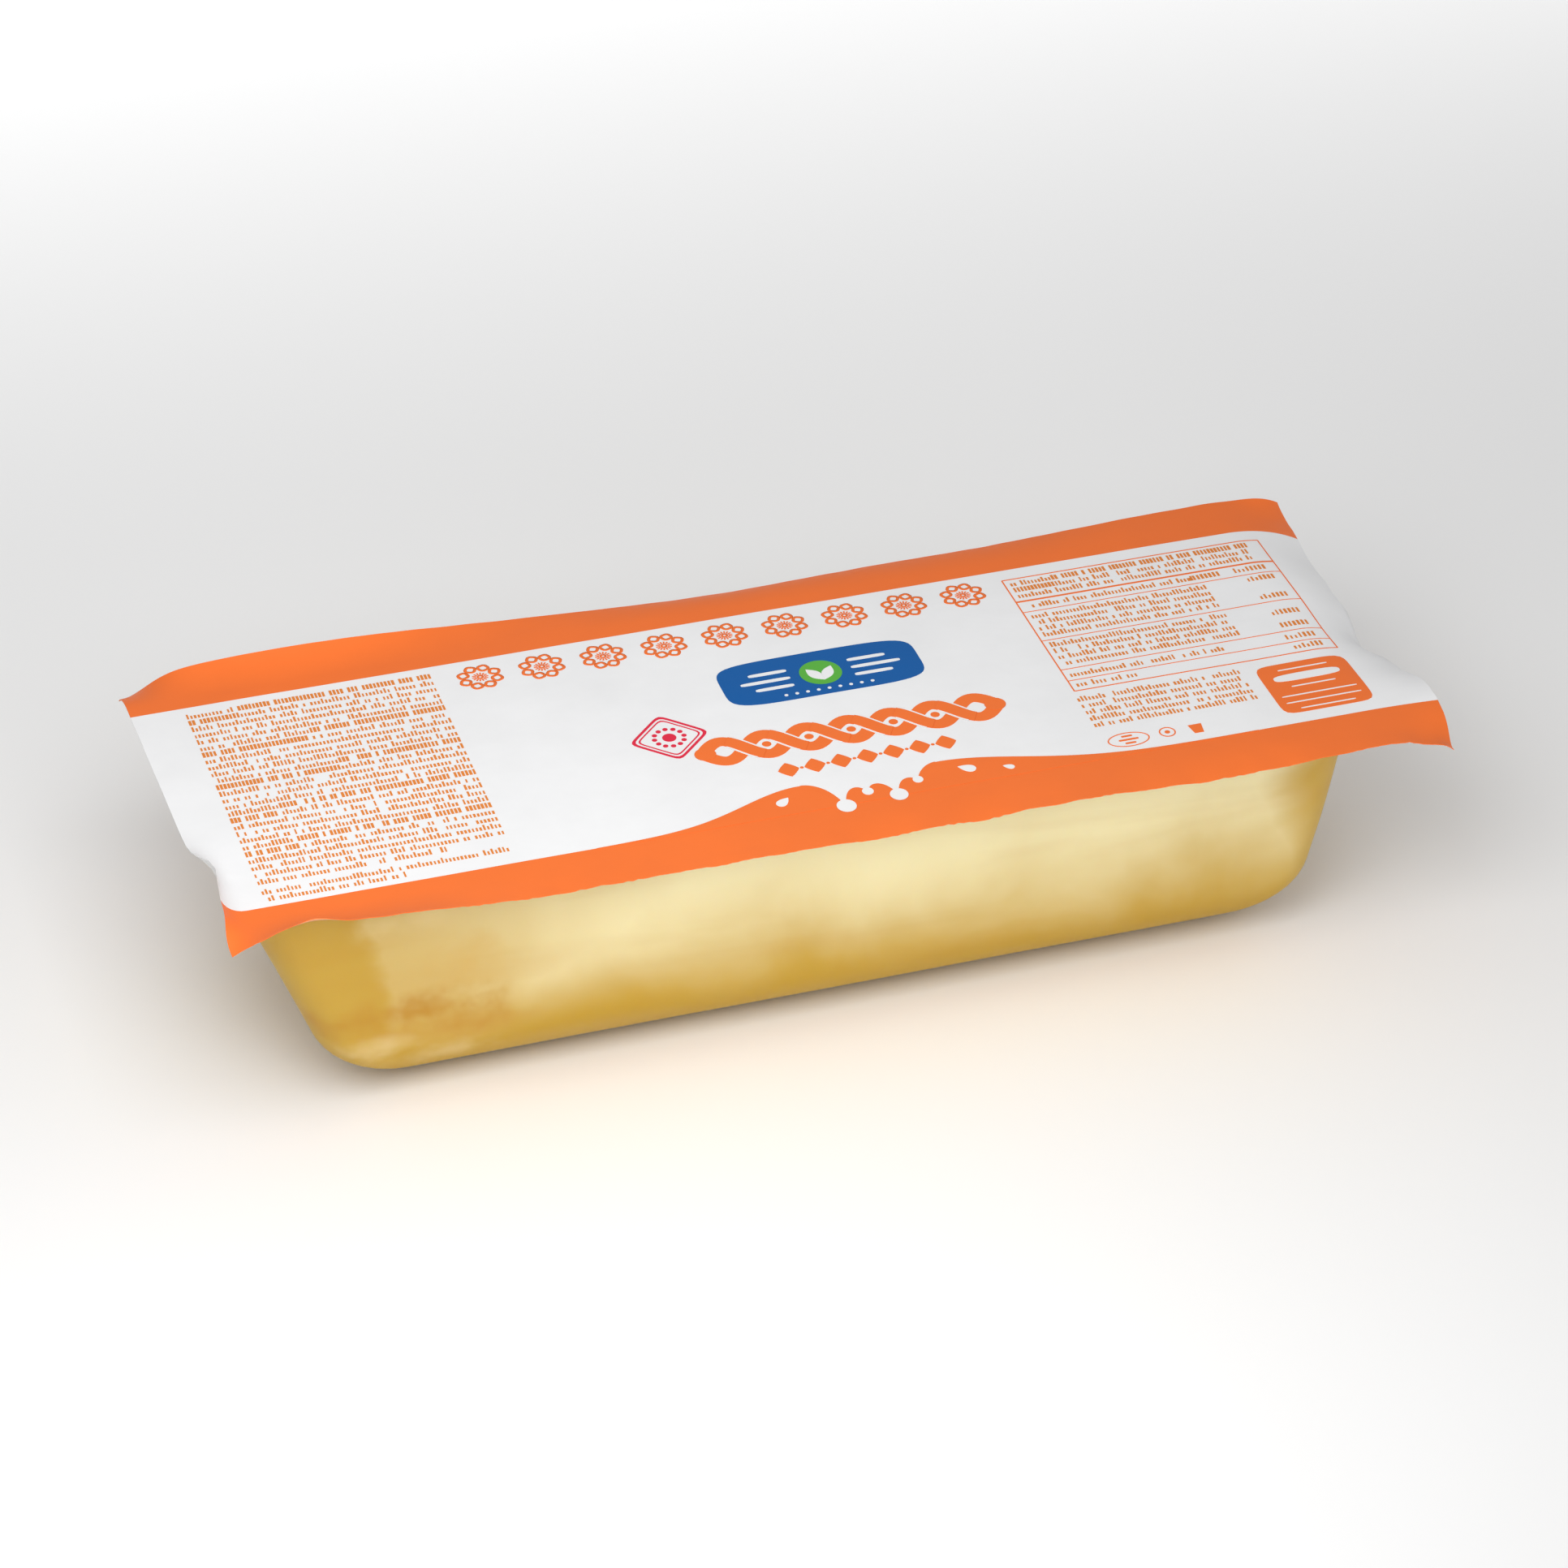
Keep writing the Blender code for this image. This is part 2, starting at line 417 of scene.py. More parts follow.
# Waves of the free margins, as in the part's source: place along the edge, half-width, drop.
BACK_WAVES = (
    (-0.133, 0.009, 0.0047),
    (-0.096, 0.038, -0.0030),
    (0.002, 0.040, 0.0020),
    (0.062, 0.030, 0.0012),
    (0.131, 0.008, -0.0017),
)
FRONT_WAVES = (
    (-0.116, 0.011, -0.0034),
    (-0.095, 0.016, -0.0018),
    (0.004, 0.009, 0.0007),
    (0.026, 0.007, 0.0008),
    (0.082, 0.020, 0.0013),
    (0.133, 0.006, -0.0020),
)
LEFT_WAVES = (
    (-0.054, 0.006, 0.0025),
    (-0.042, 0.007, -0.0025),
    (-0.028, 0.010, -0.0050),
)
RIGHT_WAVES = (
    (0.050, 0.012, 0.0040),
    (0.030, 0.012, 0.0050),
    (0.012, 0.012, 0.0050),
    (-0.005, 0.010, 0.0075),
    (-0.020, 0.007, 0.0030),
    (-0.051, 0.008, 0.0065),
)
FRONT_FLUTTER = 0.0004
BACK_FLUTTER = 0.0001
END_FLUTTER = 0.0003
FLUTTER_SIZE = 0.0065
LID_SWELL = 0.00008
LID_SWELL_SIZE = 0.022


def edge_drop(place, waves, flutter, seed):
    """How far a margin's edge drops at this place along it, with a small flutter of its own."""
    drop = sum(depth * math.exp(-(((place - middle) / width) ** 2)) for middle, width, depth in waves)
    return drop + flutter * noise.noise(Vector((place / FLUTTER_SIZE, seed, 0.0)))


def bend_margin(beyond, margin, drop):
    """How far a point drops and draws in, where the film is this far beyond the pocket's rim."""
    reach = max(beyond, 0.0) / margin
    return drop * reach**2, 2 / 3 * drop**2 / margin * reach**3


def film_point(s, t):
    """Where the point (s, t) of the flat film ends up, with the lid's plane at zero height."""
    half_length = FILM_LENGTH / 2
    half_width = FILM_WIDTH / 2
    x = s
    y = t
    z = LID_SWELL * noise.noise(Vector((s, t, 0.0)) / LID_SWELL_SIZE)
    ends = ((1, pocket_high.x, RIGHT_WAVES), (-1, -pocket_low.x, LEFT_WAVES))
    for side, rim, waves in ends:
        if s * side > rim:
            edge = edge_drop(t, waves, END_FLUTTER, side)
            drop, pull = bend_margin(s * side - rim, half_length - rim, edge)
            x -= side * pull
            z -= drop
    rim = POCKET_HALF_WIDTH
    for side, waves, flutter in ((1, BACK_WAVES, BACK_FLUTTER), (-1, FRONT_WAVES, FRONT_FLUTTER)):
        if t * side > rim:
            edge = edge_drop(s, waves, flutter, 5 * side)
            drop, pull = bend_margin(t * side - rim, half_width - rim, edge)
            y -= side * pull
            z -= drop
    towards_left_end = max(0.0, 1 - (s + half_length) / SKEW_REACH)
    x += towards_left_end * (half_width - t) / FILM_WIDTH * LEFT_END_SKEW
    return x, y, z


def flange_rings():
    """Rings of the flat margin, from just outside the rim to the film's cut edge."""
    inner = rounded_ring(pocket_low.x, pocket_high.x, POCKET_HALF_WIDTH, CORNER_RADIUS)
    reach_x, reach_y = FILM_LENGTH / 2 - MARGIN_INSET, FILM_WIDTH / 2 - MARGIN_INSET
    outer = rounded_ring(-reach_x, reach_x, reach_y, OUTER_CORNER, square=True)
    rings = []
    for i in range(FLANGE_STEPS + 1):
        share = MARGIN_START + (1 - MARGIN_START) * i / FLANGE_STEPS
        ring = []
        for (a, b), (c, d) in zip(inner, outer):
            x, y, z = film_point(a + (c - a) * share, b + (d - b) * share)
            ring.append((x, y, z + MARGIN_UNDERSIDE))
        rings.append(ring)
    return rings


def build_clear_film():
    """Clear film: almost unseen face on, and bright where it turns away and shines."""
    material, tree, shader = new_material(
        "clear_film",
        {"Base Color": (1.0, 0.98, 0.92, 1.0), "Roughness": 0.22, "Specular IOR Level": 0.6},
    )
    place = tree.nodes.new("ShaderNodeTexCoord").outputs["Object"]
    drawn_out = stretch(tree, place, (60.0, 160.0, 40.0))
    pull = soft_noise(tree, drawn_out, Scale=1.0, Detail=2.0, Distortion=0.6)
    normal = add_relief(tree, shader, pull, 0.10, 0.0006)
    turned = add_node(tree, "ShaderNodeLayerWeight", {}, {"Blend": 0.5, "Normal": normal})
    sharper = maths(tree, "POWER", turned.outputs["Facing"], 4.0)
    tree.links.new(remap(tree, sharper, (0.0, 1.0), (0.010, 0.035)), shader.inputs["Alpha"])
    return material


web_mesh = bmesh.new()
wall_rings = pocket_rings(0.0)
web_rings = loft(web_mesh, wall_rings)
web_mesh.faces.new(web_rings[0][::-1])
press_in(web_mesh)
margin_rings = loft(web_mesh, flange_rings())
rim = web_rings[-1]
shoulder = margin_rings[0]
for i in range(len(rim)):
    k = (i + 1) % len(rim)
    web_mesh.faces.new((rim[i], rim[k], shoulder[k], shoulder[i]))
web = add_piece("clear_web", web_mesh, [build_clear_film()])
web.data.shade_smooth()
wall = web.modifiers.new("wall", "SOLIDIFY")
wall.thickness = WEB_THICKNESS
wall.offset = -1.0
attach(web, "root")
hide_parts("filled_pocket")


# The printed film
# A white film printed with an orange band along each long side, cut to length and sealed over the loaf.
# Its free margins wave, and its cut edges are a little ragged.
FILM_LIFT = 0.00070
FILM_TOP = POCKET_DEPTH + FILM_LIFT
FILM_THICKNESS = 0.00018
BAND_START = 0.0378
MARGIN_STEP = 0.0011
LID_STEP_X = 0.0011
LID_STEP_Y = 0.0042
RAGGED = 0.0006
RAGGED_SIZE = 0.0020
WHITE_INK = (0.84, 0.84, 0.845, 1.0)
WHITE_BELOW = (0.80, 0.80, 0.79, 1.0)
ORANGE_BELOW = (0.86, 0.36, 0.16, 1.0)
ORANGE_INK = (0.87, 0.175, 0.032, 1.0)
# The flat film's plan is kept in millimetres.
MILLIMETRES = 1000.0


def build_film_ripple():
    """Height of a taut film's fine ripples."""
    tree, start, end = new_group(
        "film_ripple", "ShaderNodeTree", {"Place": "NodeSocketVector"}, {"Height": "NodeSocketFloat"}
    )
    drawn_out = stretch(tree, start.outputs["Place"], (55.0, 90.0, 55.0))
    ripple = soft_noise(tree, drawn_out, Scale=1.0, Detail=3.0, Roughness=0.45, Distortion=0.5)
    tree.links.new(ripple, end.inputs["Height"])
    return tree


def build_ink_mottle():
    """A colour as ink lays it down on film, a few hundredths lighter and darker from place to place."""
    tree, start, end = new_group(
        "ink_mottle",
        "ShaderNodeTree",
        {"Place": "NodeSocketVector", "Ink": "NodeSocketColor"},
        {"Color": "NodeSocketColor", "Roughness": "NodeSocketFloat"},
    )
    cloud = soft_noise(tree, start.outputs["Place"], Scale=40.0, Detail=6.0, Roughness=0.6)
    value = remap(tree, cloud, (0.25, 0.75), (0.955, 1.03))
    inputs = {"Value": value, "Color": start.outputs["Ink"]}
    varied = add_node(tree, "ShaderNodeHueSaturation", {}, inputs)
    tree.links.new(varied.outputs[0], end.inputs["Color"])
    tree.links.new(remap(tree, cloud, (0.25, 0.75), (0.40, 0.52)), end.inputs["Roughness"])
    return tree


film_ripple = build_film_ripple()
ink_mottle = build_ink_mottle()


def ink_on_film(material_name, ink):
    """A printed film's finish. The ink is one colour, or a function that draws it in the tree."""
    material, tree, shader = new_material(material_name, {"Specular IOR Level": 0.15})
    place = tree.nodes.new("ShaderNodeTexCoord").outputs["Object"]
    if callable(ink):
        ink = ink(tree)
    mottle = add_node(tree, "ShaderNodeGroup", {"node_tree": ink_mottle}, {"Place": place, "Ink": ink})
    ripple = add_node(tree, "ShaderNodeGroup", {"node_tree": film_ripple}, {"Place": place})
    tree.links.new(mottle.outputs["Color"], shader.inputs["Base Color"])
    tree.links.new(mottle.outputs["Roughness"], shader.inputs["Roughness"])
    add_relief(tree, shader, ripple.outputs[0], 0.25, 0.0006)
    return material


def banded(white, orange):
    """Draws the white field between the two orange bands, by the flat film's own coordinates."""

    def draw(tree):
        plan = tree.nodes.new("ShaderNodeUVMap")
        plan.uv_map = "flat_film"
        parts = add_node(tree, "ShaderNodeSeparateXYZ", {}, {0: plan.outputs[0]})
        across = maths(tree, "ABSOLUTE", parts.outputs["Y"])
        band = maths(tree, "GREATER_THAN", across, BAND_START * MILLIMETRES)
        return blend_colour(tree, band, white, orange)

    return draw


def grid_lines(half, low_rim, high_rim, lid_step):
    """Grid lines across the film, closer together on its margins."""
    lines = []
    for start, end, step in (
        (-half, low_rim, MARGIN_STEP),
        (low_rim, high_rim, lid_step),
        (high_rim, half, MARGIN_STEP),
    ):
        count = round((end - start) / step)
        lines += [start + (end - start) * i / count for i in range(count)]
    return lines + [half]


def cut_edge(s, t):
    """Draws a point near the front edge in, as a dull knife leaves the cut. The back is cut clean."""
    beyond = max(0.0, -t - POCKET_HALF_WIDTH) / (FILM_WIDTH / 2 - POCKET_HALF_WIDTH)
    slip = abs(noise.noise(Vector((s / RAGGED_SIZE, 9.0, 0.0))))
    return t + RAGGED * slip * beyond**2


film_mesh = bmesh.new()
flat = film_mesh.loops.layers.uv.new("flat_film")
lines_x = grid_lines(FILM_LENGTH / 2, pocket_low.x, pocket_high.x, LID_STEP_X)
lines_y = grid_lines(FILM_WIDTH / 2, -POCKET_HALF_WIDTH, POCKET_HALF_WIDTH, LID_STEP_Y)
flat_places = {}
layers = []
for lift in (FILM_TOP - FILM_THICKNESS, FILM_TOP):
    layer = []
    for s in lines_x:
        column = []
        for t in lines_y:
            x, y, z = film_point(s, cut_edge(s, t))
            vertex = film_mesh.verts.new((x, y, z + lift))
            flat_places[vertex] = (s * MILLIMETRES, t * MILLIMETRES)
            column.append(vertex)
        layer.append(column)
    layers.append(layer)
for layer, upwards in zip(layers, (False, True)):
    for left_column, right_column in zip(layer, layer[1:]):
        for j in range(len(lines_y) - 1):
            corners = [left_column[j], right_column[j], right_column[j + 1], left_column[j + 1]]
            face = film_mesh.faces.new(corners if upwards else corners[::-1])
            face.material_index = 0 if upwards else 1
borders = []
for layer in layers:
    border = [column[0] for column in layer] + layer[-1][1:]
    border += [column[-1] for column in layer[-2::-1]] + layer[0][-2:0:-1]
    borders.append(border)
for i in range(len(borders[0])):
    k = (i + 1) % len(borders[0])
    low, high = borders
    film_mesh.faces.new((low[i], low[k], high[k], high[i]))
for face in film_mesh.faces:
    for loop in face.loops:
        loop[flat].uv = flat_places[loop.vert]
film = add_piece(
    "printed_film",
    film_mesh,
    [
        ink_on_film("film_face", banded(WHITE_INK, ORANGE_INK)),
        ink_on_film("film_underside", banded(WHITE_BELOW, ORANGE_BELOW)),
    ],
)
film.data.shade_smooth()
film.data.set_sharp_from_angle(angle=CRISP_ANGLE)
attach(film, "root")
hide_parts("top_film")


# The swell
# The orange band rises from the front edge in two soft crests, one more field of the same ink. The
# white of the film runs down into it in round-ended drips, with a few loose drops beside them.
INK_RISE = 0.00005
INK_CELL = 0.0020
SWELL_LEFT = -0.052
SWELL_RIGHT = 0.092
SWELL_STEP = 0.0003
SWELL_ROWS = 5
# The swell's foot lies this far under the band's edge.
SWELL_FOOT = 0.0005
# Each crest: its place, height above the band, half-width to its left and to its right.
CRESTS = ((-0.0060, 0.0089, 0.0185, 0.0090), (0.0235, 0.0089, 0.0080, 0.0260))
VALLEY = 0.0062
# Each drip: its place, its length, the half-width of its root and the radius of its round end.
DRIPS = (
    (0.0010, 0.0072, 0.0015, 0.00205),
    (0.0068, 0.0030, 0.0012, 0.00120),
    (0.0126, 0.0062, 0.0015, 0.00190),
    (0.0180, 0.0026, 0.0012, 0.00110),
)
DROP_POINTS = 28
# Length and width of a loose drop, and length of a drip's round end, as shares of the radius.
DROP_STRETCH = (1.4, 1.15)
BULB_STRETCH = 1.1
# Each loose drop: its place, its radius and the way its tail points.
LOOSE_DROPS = (
    (-0.0110, -0.0335, 0.0013, 40.0),
    (0.0290, -0.0330, 0.0014, 150.0),
    (0.0375, -0.0350, 0.0009, 150.0),
)

orange_ink = ink_on_film("orange_ink", ORANGE_INK)
white_ink = ink_on_film("white_ink", WHITE_INK)


def lay_on_film(bm):
    """Lays flat ink on the film. Its height above the flat plan becomes its height above the film."""
    for vertex in bm.verts:
        x, y, z = film_point(vertex.co.x, vertex.co.y)
        vertex.co = (x, y, z + vertex.co.z + FILM_TOP)


def add_ink(name, bm, materials):
    """Finishes flat ink shapes as one piece on the film."""
    lay_on_film(bm)
    bmesh.ops.recalc_face_normals(bm, faces=bm.faces)
    piece = add_piece(name, bm, materials)
    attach(piece, "root")


def join_into(bm, part):
    """Adds a finished shape to a larger mesh."""
    mesh = bpy.data.meshes.new("part")
    part.to_mesh(mesh)
    part.free()
    bm.from_mesh(mesh)
    bpy.data.meshes.remove(mesh)


def add_plate(bm, outline, coat=0, ink=0):
    """A thin plate of ink with this outline. A second coat lies on the first one."""
    plate = bmesh.new()
    base = coat * INK_RISE
    low = [plate.verts.new((s, t, base)) for s, t in outline]
    high = [plate.verts.new((s, t, base + INK_RISE)) for s, t in outline]
    plate.faces.new(low[::-1])
    plate.faces.new(high)
    for i in range(len(low)):
        k = (i + 1) % len(low)
        plate.faces.new((low[i], low[k], high[k], high[i]))
    cut_across(plate)
    for face in plate.faces:
        face.material_index = ink
    join_into(bm, plate)


def cut_across(plate):
    """Cuts a plate into cells, so that it can follow the film."""
    for axis, normal in enumerate(((1, 0, 0), (0, 1, 0))):
        places = [vertex.co[axis] for vertex in plate.verts]
        first = math.floor(min(places) / INK_CELL) + 1
        last = math.ceil(max(places) / INK_CELL)
        for cell in range(first, last):
            spot = [0.0, 0.0, 0.0]
            spot[axis] = cell * INK_CELL
            whole = plate.verts[:] + plate.edges[:] + plate.faces[:]
            bmesh.ops.bisect_plane(plate, geom=whole, plane_co=spot, plane_no=normal)


def add_band(bm, outer, inner, coat=0, ink=0):
    """A thin closed band of ink between two outlines of equal count."""
    base, top = coat * INK_RISE, (coat + 1) * INK_RISE
    rings = []
    for outline, height in ((outer, base), (outer, top), (inner, top), (inner, base)):
        rings.append([bm.verts.new((s, t, height)) for s, t in outline])
    for one, other in zip(rings, rings[1:] + rings[:1]):
        for i in range(len(one)):
            k = (i + 1) % len(one)
            face = bm.faces.new((one[i], one[k], other[k], other[i]))
            face.material_index = ink


def add_strip(bm, columns, coat=0, ink=0):
    """A thin plate of ink skinned over columns of flat points, each column with as many points."""
    base = coat * INK_RISE
    sheets = []
    for height in (base, base + INK_RISE):
        sheets.append([[bm.verts.new((s, t, height)) for s, t in column] for column in columns])
    low, high = sheets
    last = len(columns[0]) - 1
    faces = []
    for i in range(len(columns) - 1):
        for j in range(last):
            for sheet in sheets:
                faces.append((sheet[i][j], sheet[i + 1][j], sheet[i + 1][j + 1], sheet[i][j + 1]))
        for j in (0, last):
            faces.append((low[i][j], low[i + 1][j], high[i + 1][j], high[i][j]))
    for i in (0, len(columns) - 1):
        for j in range(last):
            faces.append((low[i][j], low[i][j + 1], high[i][j + 1], high[i][j]))
    for corners in faces:
        bm.faces.new(corners).material_index = ink


def crest_height(s):
    """How far the swell's upper edge stands above the band's edge at this place."""
    heights = []
    for middle, height, left, right in CRESTS:
        width = left if s < middle else right
        heights.append(height * math.exp(-(((s - middle) / width) ** 2)))
    if CRESTS[0][0] < s < CRESTS[1][0]:
        heights.append(VALLEY)
    return sum(height**6 for height in heights) ** (1 / 6)


def drip_depth(s):
    """How far the white runs down into the swell at this place: a wide root that narrows to a neck."""
    return sum(length * math.exp(-abs(s - place) / root) for place, length, root, _ in DRIPS)


def bowed_outline(centre, half, bow, count):
    """A rounded oblong whose sides bow outwards. A bow of 2 is an oval."""
    points = []
    for i in range(count):
        turn = 2 * math.pi * i / count
        reach = (abs(math.cos(turn)) ** bow + abs(math.sin(turn)) ** bow) ** (-1 / bow)
        points.append(
            (centre[0] + half[0] * reach * math.cos(turn), centre[1] + half[1] * reach * math.sin(turn))
        )
    return points


def disc(centre, radius, count):
    """A round outline."""
    return bowed_outline(centre, (radius, radius), 2.0, count)


def drop_outline(s, t, radius, tail):
    """A round drop with a short pointed tail, which points this way in degrees."""
    length, width = DROP_STRETCH
    cos, sin = math.cos(math.radians(tail)), math.sin(math.radians(tail))
    points = []
    for i in range(DROP_POINTS):
        turn = 2 * math.pi * i / DROP_POINTS
        along = length * radius * math.cos(turn)
        across = width * radius * math.sin(turn) * math.sin(turn / 2)
        points.append((s + along * cos - across * sin, t + along * sin + across * cos))
    return points


swell_mesh = bmesh.new()
swell_steps = round((SWELL_RIGHT - SWELL_LEFT) / SWELL_STEP)
swell_columns = []
for i in range(swell_steps + 1):
    s = SWELL_LEFT + i * SWELL_STEP
    foot = -BAND_START - SWELL_FOOT
    rise = crest_height(s) - drip_depth(s) + SWELL_FOOT
    swell_columns.append([(s, foot + rise * j / SWELL_ROWS) for j in range(SWELL_ROWS + 1)])
add_strip(swell_mesh, swell_columns)
for s, length, root, radius in DRIPS:
    end_t = crest_height(s) - drip_depth(s) - BAND_START
    bulb = bowed_outline((s, end_t), (radius, BULB_STRETCH * radius), 2.0, DROP_POINTS)
    add_plate(swell_mesh, bulb, coat=1, ink=1)
for s, t, radius, tail in LOOSE_DROPS:
    add_plate(swell_mesh, drop_outline(s, t, radius, tail), coat=1, ink=1)
add_ink("orange_swell", swell_mesh, [orange_ink, white_ink])


# The rosettes
# Nine small rosettes stand in a row beside the back band. Each is a ring of eight open lozenges round a
# small sun, an old and common ornament, printed in the band's orange.
ROSETTES = {
    "Count": 9,
    "First": (-0.0584, 0.0308, 0.0),
    "Pitch": 0.01358,
    "Petals": 8,
    "Ring": 0.00370,
    "Petal Length": 0.0027,
    "Petal Width": 0.0030,
    "Line": 0.00070,
    "Squash": 0.95,
}
SUN_RAYS = 14
RAY_SIZE = (0.00085, 0.00034)
# The sun's rays and eye, as shares of the ring, and the eye's line, as a share of the petals'.
RAY_RING = 0.36
EYE_RING = 0.15
EYE_LINE = 0.7


def build_rosettes():
    """Points in a row, each with a ring of petals and a sun, all drawn as flat bands of ink."""
    inputs = {name: "NodeSocketFloat" for name in ROSETTES}
    inputs["Count"] = "NodeSocketInt"
    inputs["Petals"] = "NodeSocketInt"
    inputs["First"] = "NodeSocketVector"
    inputs["Rise"] = "NodeSocketFloat"
    inputs["Ink"] = "NodeSocketMaterial"
    tree, start, end = new_group("rosettes", "GeometryNodeTree", inputs, {"Mesh": "NodeSocketGeometry"})
    given = start.outputs

    def vector(x, y, z):
        return add_node(tree, "ShaderNodeCombineXYZ", {}, {0: x, 1: y, 2: z}).outputs[0]

    def circle(count, radius):
        return add_node(
            tree, "GeometryNodeCurvePrimitiveCircle", {}, {"Resolution": count, "Radius": radius}
        ).outputs[0]

    def stretched(shape, scale):
        return add_node(tree, "GeometryNodeTransform", {}, {"Geometry": shape, "Scale": scale}).outputs[0]

    profile = add_node(
        tree,
        "GeometryNodeCurvePrimitiveQuadrilateral",
        {},
        {"Width": given["Line"], "Height": given["Rise"]},
    ).outputs[0]
    lozenge = stretched(circle(4, 0.5), vector(given["Petal Length"], given["Petal Width"], 1.0))
    rounded = add_node(
        tree,
        "GeometryNodeFilletCurve",
        {"mode": "POLY"},
        {"Curve": lozenge, "Count": 3, "Radius": given["Line"]},
    ).outputs[0]
    petal = add_node(
        tree, "GeometryNodeCurveToMesh", {}, {"Curve": rounded, "Profile Curve": profile}
    ).outputs[0]
    here = add_node(tree, "GeometryNodeInputPosition", {}, {}).outputs[0]
    parts = add_node(tree, "ShaderNodeSeparateXYZ", {}, {0: here})
    outward = vector(0.0, 0.0, maths(tree, "ARCTAN2", parts.outputs["Y"], parts.outputs["X"]))
    petals = add_node(
        tree,
        "GeometryNodeInstanceOnPoints",
        {},
        {"Points": circle(given["Petals"], given["Ring"]), "Instance": petal, "Rotation": outward},
    ).outputs[0]
    petals = add_node(
        tree,
        "GeometryNodeTransform",
        {},
        {"Geometry": petals, "Rotation": (0.0, 0.0, math.pi / ROSETTES["Petals"])},
    ).outputs[0]
    ray_points = circle(SUN_RAYS, maths(tree, "MULTIPLY", given["Ring"], RAY_RING))
    ray = add_node(
        tree, "GeometryNodeMeshCube", {}, {"Size": vector(*RAY_SIZE, given["Rise"])}
    ).outputs[0]
    rays = add_node(
        tree,
        "GeometryNodeInstanceOnPoints",
        {},
        {"Points": ray_points, "Instance": ray, "Rotation": outward},
    ).outputs[0]
    eye_line = circle(10, maths(tree, "MULTIPLY", given["Ring"], EYE_RING))
    fine_profile = stretched(profile, (EYE_LINE, 1.0, 1.0))
    eye = add_node(
        tree, "GeometryNodeCurveToMesh", {}, {"Curve": eye_line, "Profile Curve": fine_profile}
    ).outputs[0]
    together = tree.nodes.new("GeometryNodeJoinGeometry")
    for shape in (petals, rays, eye):
        tree.links.new(shape, together.inputs[0])
    rosette = stretched(together.outputs[0], vector(1.0, given["Squash"], 1.0))
    row = add_node(
        tree,
        "GeometryNodeMeshLine",
        {},
        {
            "Count": given["Count"],
            "Start Location": given["First"],
            "Offset": vector(given["Pitch"], 0.0, 0.0),
        },
    ).outputs[0]
    placed = add_node(
        tree, "GeometryNodeInstanceOnPoints", {}, {"Points": row, "Instance": rosette}
    ).outputs[0]
    solid = add_node(tree, "GeometryNodeRealizeInstances", {}, {"Geometry": placed}).outputs[0]
    inked = add_node(
        tree, "GeometryNodeSetMaterial", {}, {"Geometry": solid, "Material": given["Ink"]}
    ).outputs[0]
    tree.links.new(inked, end.inputs["Mesh"])
    return tree


def grow(tree, values):
    """Runs a node tree with these named values, and returns the flat mesh that it makes."""
    seed = bpy.data.objects.new("seed", bpy.data.meshes.new("seed"))
    bpy.context.scene.collection.objects.link(seed)
    growth = seed.modifiers.new("growth", "NODES")
    growth.node_group = tree
    for item in tree.interface.items_tree:
        if item.in_out == "INPUT":
            growth[item.identifier] = values[item.name]
    grown = seed.evaluated_get(bpy.context.evaluated_depsgraph_get())
    mesh = bpy.data.meshes.new_from_object(grown)
    seed.modifiers.remove(growth)
    bpy.data.objects.remove(seed)
    bm = bmesh.new()
    bm.from_mesh(mesh)
    bpy.data.meshes.remove(mesh)
    return bm


rosette_mesh = grow(build_rosettes(), {**ROSETTES, "Rise": INK_RISE, "Ink": orange_ink})
for vertex in rosette_mesh.verts:
    vertex.co.z += INK_RISE / 2
add_ink("rosettes", rosette_mesh, [orange_ink])


# The plaque
# A bowed blue plaque in the middle of the lid, with two white leaves on a green roundel, plain white
# bars at its sides and a row of white dots below.
PLAQUE = (0.0112, 0.0107)
PLAQUE_HALF = (0.0220, 0.0083)
PLAQUE_BOW = 5.0
ROUNDEL_RADIUS = 0.0046
BAR_LENGTHS = (0.0085, 0.0110, 0.0085)
BAR_PITCH = 0.0029
BAR_HEIGHT = 0.0011
BAR_GAP = 0.0022
# The leaves start this far below the middle, and are this long and this wide.
LEAF_DROP = 0.0030
LEAF_SIZE = (0.0056, 0.0026)
LEAF_SPREAD = 30.0
DOTS = 9
DOT_PITCH = 0.0024
DOT_DROP = 0.0063
DOT_RADIUS = 0.00042
BLUE_INK = (0.003, 0.100, 0.350, 1.0)
GREEN_INK = (0.100, 0.420, 0.050, 1.0)


def leaf_outline(centre, size, turn):
    """A pointed leaf of this length and width that starts at centre and grows this way."""
    length, width = size
    count = 9
    side = []
    for i in range(count + 1):
        along = i / count
        side.append((length * along, width / 2 * math.sin(math.pi * along)))
    flat_points = side + [(a, -b) for a, b in side[-2:0:-1]]
    cos, sin = math.cos(turn), math.sin(turn)
    return [(centre[0] + a * cos - b * sin, centre[1] + a * sin + b * cos) for a, b in flat_points]


plaque_mesh = bmesh.new()
add_plate(plaque_mesh, bowed_outline(PLAQUE, PLAQUE_HALF, PLAQUE_BOW, 96))
add_plate(plaque_mesh, disc(PLAQUE, ROUNDEL_RADIUS, 40), coat=1, ink=2)
for side in (-1, 1):
    root = (PLAQUE[0], PLAQUE[1] - LEAF_DROP)
    leaf = leaf_outline(root, LEAF_SIZE, math.radians(90 - LEAF_SPREAD * side))
    add_plate(plaque_mesh, leaf, coat=2, ink=1)
    for number, length in enumerate(BAR_LENGTHS):
        bar_s = PLAQUE[0] + side * (ROUNDEL_RADIUS + BAR_GAP + length / 2)
        bar_t = PLAQUE[1] + (1 - number) * BAR_PITCH
        bar = bowed_outline((bar_s, bar_t), (length / 2, BAR_HEIGHT / 2), 5.0, 24)
        add_plate(plaque_mesh, bar, coat=1, ink=1)
